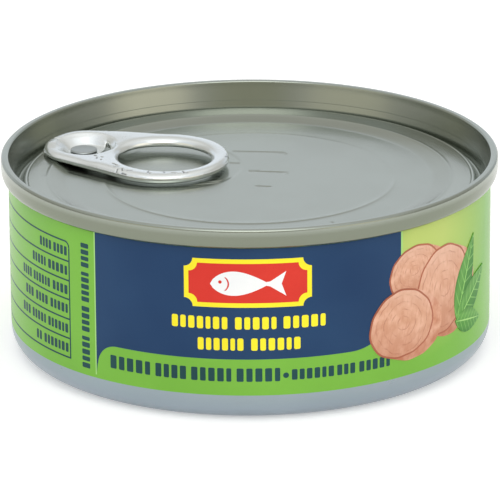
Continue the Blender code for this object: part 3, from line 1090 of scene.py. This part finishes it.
green_finish, tree, shader, tone = ink("green_print", linear(113, 174, 57), linear(120, 182, 63), coat=0.35)
places = object_places(tree)
for side in (WALL_RADIUS * MM, -WALL_RADIUS * MM):
    glow = add(tree, "ShaderNodeVectorMath", operation="DISTANCE", Vector=places)
    glow.inputs[1].default_value = (side * math.sin(GLOW_TURN), -side * math.cos(GLOW_TURN), GLOW_HEIGHT)
    near = ramp(tree, glow.outputs["Value"], 4.0 * MM, 22.0 * MM, 0.9, 0.0)
    tone = mix_colour(tree, near, tone, GLOW_TONE)
put(tree, shader.inputs["Base Color"], tone)

navy_finish = ink("navy_print", linear(28, 58, 96), linear(35, 66, 104), coat=0.12)[0]
pale_finish = ink("pale_green_line", linear(158, 208, 122), linear(166, 214, 130))[0]
yellow_finish = ink("yellow_print", linear(238, 222, 40), linear(250, 236, 52))[0]
red_finish = ink("red_print", linear(206, 48, 40), linear(216, 58, 46))[0]
white_finish = ink("white_print", linear(232, 234, 238), linear(244, 245, 247))[0]
dark_finish = ink("dark_print", linear(28, 66, 70), linear(34, 76, 80))[0]
rim_finish = ink("steak_rim_print", linear(150, 82, 62), linear(184, 112, 86))[0]
vein_finish = ink("leaf_vein_print", linear(150, 206, 110), linear(168, 216, 128))[0]

# %% Steak faces and leaves
def flesh(name, dark, light, ring_share):
    """Cooked tuna in print: pale and darker patches, broken flake lines and short fibres."""
    finish, tree, shader, tone = ink(name, dark, light, coat=0.1)
    places = flat_places(tree)
    height = add(tree, "ShaderNodeSeparateXYZ", Vector=places).outputs["Y"]
    rings = add(
        tree, "ShaderNodeTexWave", wave_type="RINGS", rings_direction="Z", wave_profile="SAW",
        Scale=1.5, Distortion=3.2, Detail=3.0, Detail_Scale=1.1, Vector=places,
    )
    flakes = ramp(tree, rings.outputs["Fac"], 0.82, 1.0, 0.0, ring_share)
    breaks = ramp(tree, noise(tree, places, 4.0), 0.42, 0.6)
    fibres = noise(tree, places, 14.0, (1.0, 0.18, 1.0), 4.0)
    for share, colour in (
        (ramp(tree, noise(tree, places, 2.6, detail=5.0), 0.4, 0.68, 0.0, 0.75), linear(236, 190, 166)),
        (reckon(tree, "MULTIPLY", flakes, breaks), linear(156, 84, 64)),
        (ramp(tree, fibres, 0.52, 0.7, 0.0, 0.4), linear(190, 120, 92)),
        (ramp(tree, height, 0.1, -1.0, 0.0, 0.45), linear(176, 108, 82)),
        (ramp(tree, height, 0.35, 1.0, 0.0, 0.35), linear(240, 206, 188)),
    ):
        tone = mix_colour(tree, share, tone, colour)
    put(tree, shader.inputs["Base Color"], tone)
    return finish


face_finish = flesh("steak_face_print", linear(205, 149, 120), linear(217, 166, 140), 0.7)
side_finish = flesh("steak_side_print", linear(188, 122, 92), linear(204, 138, 108), 0.25)

leaf_finish, tree, shader, tone = ink("leaf_print", linear(54, 122, 40), linear(84, 152, 58))
parts = add(tree, "ShaderNodeSeparateXYZ", Vector=flat_places(tree))
from_vein = reckon(tree, "ABSOLUTE", parts.outputs["Y"])
slanted = reckon(tree, "ADD", parts.outputs["X"], reckon(tree, "MULTIPLY", from_vein, -0.16))
wave = reckon(tree, "SINE", reckon(tree, "MULTIPLY", slanted, 48.0))
for share, colour in (
    (ramp(tree, parts.outputs["Y"], -0.25, 0.5, 0.0, 0.6), linear(116, 176, 82)),
    (ramp(tree, wave, 0.8, 1.0, 0.0, 0.55), linear(150, 206, 112)),
    (ramp(tree, from_vein, 0.45, 1.0, 0.0, 0.55), linear(36, 104, 34)),
):
    tone = mix_colour(tree, share, tone, colour)
put(tree, shader.inputs["Base Color"], tone)

# %% Put the finishes on
def dress(piece, *finishes):
    piece.data.materials.clear()
    for finish in finishes:
        piece.data.materials.append(finish)


dress(body, tin_finish, green_finish)
for face in body.data.polygons:
    middle = face.center / MM
    if middle.xy.length > 42.2 and middle.z > PRINT_FOOT:
        face.material_index = 1
dress(lid, lid_finish)
dress(rivet, rivet_finish)
dress(tab, tab_finish)
for piece, finish in (
    (panel, navy_finish), (pale_lines, pale_finish), (plaque_edge, yellow_finish), (plaque, red_finish),
    (fish, white_finish), (fish_marks, red_finish), (headline, yellow_finish), (small_print, dark_finish),
):
    dress(piece, finish)
for group, finish in (
    (steak_sides, side_finish), (steak_rims, rim_finish), (steak_faces, face_finish),
    (leaves, leaf_finish), (veins, vein_finish),
):
    for piece in group:
        dress(piece, finish)

# %% [markdown]
# ## Riding on the part
#
# The can has one body, root, and nothing moves on it. Each piece rides on that body, and the
# finer body, lid and tab stand for their plain solids.

# %% Ride, and hide the plain solids
prints = [panel, pale_lines, plaque_edge, plaque, fish, fish_marks, headline, small_print]
prints += steak_sides + steak_rims + steak_faces + leaves + veins
for piece in [body, lid, rivet, tab] + prints:
    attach(piece, "root")
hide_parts("can_body")
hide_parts("can_lid")
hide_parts("pull_tab")

# %% [markdown]
# ## Floor and light
#
# A pale floor, a pale room and one large soft lamp overhead. Metal needs something to mirror, so
# the room isn't one even white. The flat panel mirrors a pale patch low at the back, and the part
# of it next to the far wall mirrors that wall, which mirrors a bright patch high in front. The wall
# itself shows a dim patch low in front with a brighter one at each side of it, and the outside of
# the can shows patches high at both sides.

# %% Floor
deselect()
bpy.ops.mesh.primitive_plane_add(size=12.0, location=(0.0, 0.0, 0.0))
floor = bpy.context.object
floor.name = floor.data.name = "floor"
finish, tree, shader = new_finish("pale_floor")
set_up(
    tree, shader, Base_Color=(0.9, 0.9, 0.9, 1.0), Roughness=0.8,
    Emission_Color=(1.0, 1.0, 1.0, 1.0), Emission_Strength=0.36,
)
dress(floor, finish)

# %% Room
ROOM_TONE = (0.55, 0.54, 0.5, 1.0)
# Turn from the front, height, core and reach in degrees, and tone
GLOWS = [
    (0, 90, 30, 62, (0.85, 0.85, 0.83)),
    (150, 8, 14, 26, (0.66, 0.7, 0.74)),
    (-150, 8, 14, 26, (0.8, 0.85, 0.9)),
    (180, 10, 14, 24, (0.9, 0.95, 1.01)),
    (46, 46, 20, 40, (0.84, 0.87, 0.89)),
    (-46, 46, 20, 40, (0.8, 0.83, 0.86)),
    (0, 50, 12, 28, (2.2, 2.2, 2.15)),
    (0, 10, 12, 24, (0.47, 0.46, 0.35)),
    (50, 15, 12, 27, (1.24, 1.16, 0.98)),
    (-50, 15, 12, 28, (0.86, 0.82, 0.68)),
]
world = bpy.data.worlds.new("room")
bpy.context.scene.world = world
world.use_nodes = True
tree = world.node_tree
direction = add(tree, "ShaderNodeTexCoord").outputs["Generated"]
tone = ROOM_TONE
for turn, height, core, reach, colour in GLOWS:
    turn, height = math.radians(turn), math.radians(height)
    towards = add(tree, "ShaderNodeVectorMath", operation="DOT_PRODUCT", Vector=direction)
    towards.inputs[1].default_value = (
        math.cos(height) * math.sin(turn), -math.cos(height) * math.cos(turn), math.sin(height)
    )
    near = add(
        tree, "ShaderNodeMapRange", interpolation_type="SMOOTHSTEP", Value=towards.outputs["Value"],
        From_Min=math.cos(math.radians(reach)), From_Max=math.cos(math.radians(core)),
    )
    tone = mix_colour(tree, near.outputs["Result"], tone, (*colour, 1.0))
set_up(tree, tree.nodes["Background"], Color=tone, Strength=1.0)


# %% Lamps
def lamp(name, place, target, size, power):
    """A square soft lamp that points at a target."""
    data = bpy.data.lights.new(name, "AREA")
    data.size = size
    data.energy = power
    made = bpy.data.objects.new(name, data)
    bpy.context.scene.collection.objects.link(made)
    made.location = place
    made.rotation_euler = (Vector(place) - Vector(target)).to_track_quat("Z", "Y").to_euler()


lamp("overhead", (0.0, -0.5, 1.6), (0.0, 0.0, 0.0), 1.6, 2.0)

scene = bpy.context.scene
scene.view_settings.view_transform = "Standard"
scene.view_settings.look = "None"

# %% The end
deselect()
